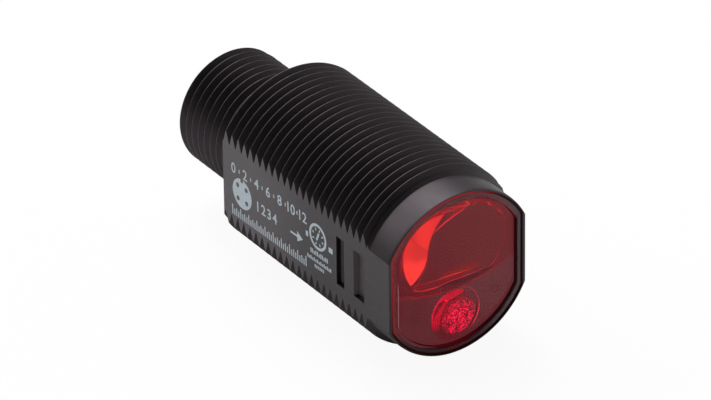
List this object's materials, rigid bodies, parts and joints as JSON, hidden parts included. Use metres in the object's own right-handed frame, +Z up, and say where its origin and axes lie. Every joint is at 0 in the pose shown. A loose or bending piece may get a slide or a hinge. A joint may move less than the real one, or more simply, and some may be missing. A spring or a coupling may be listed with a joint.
{
  "type": "photoelectric sensor",
  "caption": "Cylindrical photoelectric sensor: threaded barrel with two flats, red front window over a large receiving and a small emitting lens, and a round pin plug at the rear.",
  "frame": {"origin": "on the barrel axis, in the barrel's rear end face, where the thread starts and the plug's collar stands out", "axes": "+X along the barrel axis, out of the lens; +Y across the two flats; +Z up, towards the large receiving lens"},
  "size_m": [0.0365, 0.0152, 0.018],
  "materials": {
    "housing_plastic": "moulded black polyester, satin",
    "window_acrylic": "clear red acrylic, polished",
    "seal_rubber": "matt black",
    "lens_acrylic": "clear red acrylic, polished",
    "carrier_plastic": "matt black",
    "led_resin": "clear red epoxy",
    "diode_resin": "dark filter epoxy",
    "board_laminate": "green solder mask",
    "tinned_pins": "tinned",
    "chip_resin": "moulded epoxy",
    "can_steel": "tin-plated sheet",
    "tantalum_resin": "moulded epoxy",
    "ceramic_chips": "fired ceramic",
    "indicator_resin": "diffuse epoxy",
    "insert_plastic": "glass-filled polyamide",
    "potting_resin": "cast epoxy",
    "contact_gold": "gold-plated"
  },
  "bodies": {
    "root": {"housing": "housing_plastic", "front_window": "window_acrylic", "window_gasket": "seal_rubber", "receiver_lens": "lens_acrylic", "emitter_lens": "lens_acrylic", "optics_carrier": "carrier_plastic", "emitter_hood": "carrier_plastic", "emitter_led": "led_resin", "photodiode": "diode_resin", "optics_board": "board_laminate", "board_link_pins": "tinned_pins", "main_board": "board_laminate", "signal_chip": "chip_resin", "shield_can": "can_steel", "voltage_regulator": "chip_resin", "filter_capacitor": "tantalum_resin", "output_transistors": "chip_resin", "protection_diode": "chip_resin", "ceramic_capacitors": "ceramic_chips", "resistors": "chip_resin", "indicator_led": "indicator_resin", "connector_shell": "housing_plastic", "connector_seal": "seal_rubber", "contact_carrier": "insert_plastic", "contact_potting": "potting_resin", "contact_pin_1": "contact_gold", "contact_pin_2": "contact_gold", "contact_pin_3": "contact_gold", "contact_pin_4": "contact_gold"}
  },
  "joints": []
}
